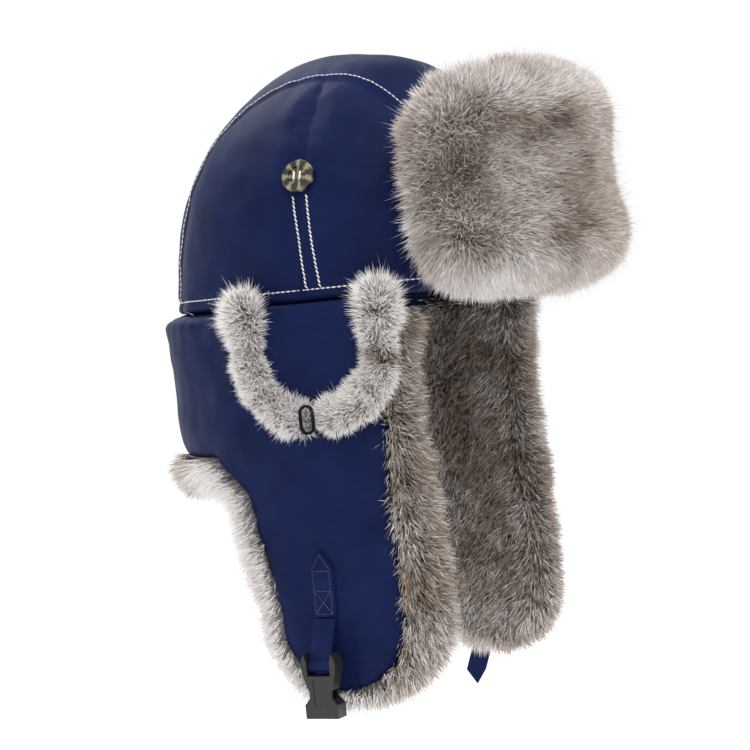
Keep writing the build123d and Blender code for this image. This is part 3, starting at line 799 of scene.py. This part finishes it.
for side in (-1, 1):
    who = sideName[side]
    tongue = padSheet(who + "CoverTongue", tongueInside, coverPlace(side), (alongAt(-62), alongAt(24)),
                      (-66.0, -2.0), 2.0, 2.4, 1.6, 9.0, [navyCloth], tongueRelief)
    faceOut(tongue)
    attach(tongue, who + "_ear_cover")
    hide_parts(who + "_ear_cover_tongue")
    for end, sign in (("Front", -1), ("Back", 1)):
        def furStrip(a, z):
            if sign * (a - alongAt(cover["center"])) < 1.8:
                return False
            return (dropInside(a, z, cover["furHalf"] - 5, cover["furDrop"] - 6, 2.0)
                    and not dropInside(a, z, cover["half"] - 1, cover["drop"] - 1, 20.0))
        pelt = padSheet(who + "Cover" + end + "Pelt", furStrip,
                        lambda a, z, out: ovalPlace(side, a, z, out + 5.0),
                        (alongAt(-76), alongAt(42)), (-82.0, 2.0), 2.2, 3.4, 1.2, 6.0, [peltLightPaintedShade])
        faceOut(pelt)
        groom(pelt, coverComb(side))
        seed = 40 + 7 * side + sign
        strands = growFur(pelt, who + "Cover" + end + "Fur", "cover", 5.2e6, 0.00055, 0.4, seed, 1.2)
        guard = growFur(pelt, who + "Cover" + end + "Guard", "cover", 0.35e6, 0.00026, 0.8, seed + 300,
                        1.2, (1.0, 1.4))
        for piece in (pelt, strands, guard):
            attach(piece, who + "_ear_cover")
        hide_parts(f"{who}_ear_cover_fur_{end.lower()}")
print("ear covers made")


# Visor

visor = {"half": 84.0, "low": 5.0, "top": 107.0, "lowCorner": 20.0, "topCorner": 32.0}


# a runs round the front of the oval, 0 at the middle
def visorInside(a, z):
    x = oval["ry"] * math.sin(a / oval["ry"])
    half, low, top = visor["half"], visor["low"], visor["top"]
    corner = visor["topCorner"] if z > (low + top) / 2 else visor["lowCorner"]
    dx, dz = abs(x) - (half - corner), abs(z - (low + top) / 2) - ((top - low) / 2 - corner)
    if dx > 0 and dz > 0:
        return math.hypot(dx, dz) < corner
    return dx < corner and dz < corner


def visorPlace(a, z, out):
    phi = a / oval["ry"]
    rx, ry = crown["rx"] + 1.6, crown["ry"] + 1.6
    normal = Vector((math.sin(phi) / rx, -math.cos(phi) / ry, 0)).normalized()
    return (Vector((rx * math.sin(phi), -ry * math.cos(phi), z)) + normal * out) * mm


def visorRelief(a, z, deep, isBack):
    lump = 1.8 * noise.noise(Vector((a, z, 1)) / 22.0) + 9.0 * smooth(52.0, 16.0, z)
    lump += 5.0 * smooth(70.0, 96.0, z)
    return 0.0 if isBack else lump * smooth(0.0, 12.0, deep)


# Patches of darker and lighter fur: along, height, half width, half height, change of tint
visorMarks = [
    (-26, 84, 26, 7, -0.5), (-80, 60, 14, 17, -0.42), (-30, 27, 17, 13, -0.45), (34, 34, 17, 18, -0.4),
    (-56, 58, 12, 22, 0.3), (-62, 14, 20, 9, 0.2), (5, 62, 16, 9, -0.25), (30, 84, 18, 12, -0.25),
]


def visorComb(co, normal, a, z, deep, face):
    rim = smooth(26.0, 3.0, deep)
    spread = Vector((co.x * 0.9, 0, co.z - 0.060)) * (1 / 0.075)
    way = normal * 0.75 + Vector((0, -0.3, 0)) + spread * (0.4 + 0.3 * rim) + Vector((0, 0, -0.3))
    way += tuft(co, 4.2, 0.62, 1.0) + tuft(co, 12.0, 0.5, 6.0) + tuft(co, 42.0, 0.35, 2.0)
    tint = 0.7 + 0.3 * cloud(co, 26.0, 3.0) + 0.36 * cloud(co, 8.0, 9.0) + 0.3 * cloud(co, 3.6, 2.0)
    for mark in visorMarks:
        tint += mark[4] * math.exp(-(((a - mark[0]) / mark[2]) ** 2 + ((z - mark[1]) / mark[3]) ** 2))
    tint += 0.12 * rim
    return way, mixIn(20.0, 17.0, rim), tint, (0.0 if face < 0 and deep > 3 else 1.0)


visorBack = padSheet("visorBack", visorInside, lambda a, z, out: visorPlace(a, z, out + 1.2),
                     (-110.0, 110.0), (0.0, 130.0), 3.0, 1.6, 0.9, 6.0, [navyCloth])
faceOut(visorBack)
visorPelt = padSheet("visorPelt", visorInside, lambda a, z, out: visorPlace(a, z, out + 3.2),
                     (-110.0, 110.0), (0.0, 130.0), 2.3, 17.0, 0.4, 21.0, [peltDarkPaintedShade], visorRelief)
faceOut(visorPelt)
groom(visorPelt, visorComb)
visorGuard = growFur(visorPelt, "visorGuard", "visor", 0.16e6, 0.00032, 0.55, 90, 1.5, (1.1, 1.5))
visorPieces = [visorPelt, visorGuard]
for i in range(4):
    visorPieces.append(growFur(visorPelt, f"visorFur{i}", "visor", 1.9e6, 0.0011 if i < 2 else 0.0006,
                               0.24 + 0.08 * i, 70 + i, 2.7))
for piece in visorPieces:
    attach(piece, "visor")
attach(visorBack, "visor")
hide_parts("visor_shell", "visor_stiffener")
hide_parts("visor_fur")
print("visor made")


# Tonal stitches on the straps

strap = {"y": -11.0, "half": 6.5, "inset": 1.4, "tip": -136.0, "point": 9.0, "low": -172.0, "boxTop": -158.0}


def runPoints(corners, side, x):
    points = []
    for (ya, za), (yb, zb) in zip(corners, corners[1:]):
        for i in range(13):
            y, z = mixIn(ya, yb, i / 12), mixIn(za, zb, i / 12)
            points.append((Vector((side * x, strap["y"] + y, z)) * mm, Vector((side, 0, 0))))
    return points


for side in (-1, 1):
    who = sideName[side]
    lo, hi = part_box(who + "_strap_anchor")
    faceX = max(abs(lo[0]), abs(hi[0])) / mm + 0.05
    w = strap["half"] - strap["inset"]
    tip, shoulder = strap["tip"] - 2.2, strap["tip"] - strap["point"] - 0.6
    foot = strap["low"] + 1.5
    lines = {
        "Edge": [(-w, foot), (-w, shoulder), (0, tip), (w, shoulder), (w, foot), (-w, foot)],
        "Point": [(-w, shoulder - 1.5), (w, shoulder - 1.5)],
        "Box": [(-w, strap["boxTop"]), (w, strap["boxTop"]), (-w, foot), (0, strap["low"] + 8.2),
                (w, foot), (-w, strap["boxTop"])],
    }
    for part, corners in lines.items():
        seam = stitchLine(who + "Strap" + part, runPoints(corners, side, faceX), 1.9, 1.5, 0.2, navyThread)
        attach(seam, who + "_earflap")
print("strap stitches made")


# Finishes on the CAD nodes

def nodeObject(node):
    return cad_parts[node] if not isinstance(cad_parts[node], str) else bpy.data.objects[node]


def finishNode(node, mat):
    piece = nodeObject(node)
    if not piece.material_slots:
        piece.data.materials.append(mat)
    for spot in piece.material_slots:
        spot.material = mat


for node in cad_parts:
    if "loop" in node:
        finishNode(node, darkElastic)
    elif "strap" in node:
        finishNode(node, navyTape)
    elif node.startswith("buckle") or node.startswith("release"):
        finishNode(node, blackPlastic)
    elif "thread" in node:
        finishNode(node, whiteThread)
    elif "snap" in node:
        finishNode(node, steel)
    elif node == "crown_lining":
        finishNode(node, quilting)
    elif node == "sweatband":
        finishNode(node, bandCloth)
for side in (-1, 1):
    lo, hi = (Vector(c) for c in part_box("button_" + sideName[side]))
    tilt = math.radians(32)
    finishNode("button_" + sideName[side], hornMaterial(sideName[side] + "Horn", (lo + hi) / 2,
               (side * -math.sin(tilt), 0, math.cos(tilt)), (0, 1, 0)))
print("finishes set")


# Floor, light and camera

stage = {"floor": -0.42, "azimuth": -61.6, "elevation": 2.0, "roll": 5.6, "away": 1.32, "lens": 109.3,
         "aim": (0.0010, -0.0018, -0.0475)}
bm = bmesh.new()
bmesh.ops.create_grid(bm, x_segments=8, y_segments=8, size=6.0)
for v in bm.verts:
    v.co.z = stage["floor"]
floorMat, _, floorShader = newMaterial("floor", (0.93, 0.93, 0.93), 0.95)
floorShader.inputs["Emission Color"].default_value = (1, 1, 1, 1)
floorShader.inputs["Emission Strength"].default_value = 0.2
floor = fromMesh("floor", bm, floorMat)

world = bpy.data.worlds.new("studio")
bpy.context.scene.world = world
world.use_nodes = True
world.node_tree.nodes["Background"].inputs[0].default_value = (1, 1, 1, 1)
world.node_tree.nodes["Background"].inputs[1].default_value = 1.0


def softLight(name, where, size, power):
    data = bpy.data.lights.new(name, "AREA")
    data.shape = "DISK"
    data.size = size
    data.energy = power
    light = bpy.data.objects.new(name, data)
    light.location = where
    light.rotation_mode = "QUATERNION"
    light.rotation_quaternion = (Vector((0, 0, -0.05)) - Vector(where)).to_track_quat("-Z", "Y")
    bpy.context.scene.collection.objects.link(light)


softLight("keyLight", (-0.5, -1.0, 1.7), 0.9, 16.0)
softLight("rimLight", (0.6, 1.1, 1.4), 0.9, 12.0)

az, el, roll = (math.radians(stage[k]) for k in ("azimuth", "elevation", "roll"))
back = Vector((math.sin(az) * math.cos(el), -math.cos(az) * math.cos(el), math.sin(el)))
right = Vector((math.cos(az), math.sin(az), 0))
up = back.cross(right)
right, up = right * math.cos(roll) - up * math.sin(roll), right * math.sin(roll) + up * math.cos(roll)
cameraData = bpy.data.cameras.new("camera")
cameraData.lens = stage["lens"]
camera = bpy.data.objects.new("camera", cameraData)
camera.matrix_world = Matrix((right, up, back)).transposed().to_4x4()
camera.location = Vector(stage["aim"]) + back * stage["away"]
bpy.context.scene.collection.objects.link(camera)
bpy.context.scene.camera = camera
bpy.context.scene.view_settings.view_transform = "Standard"
print("stage set")
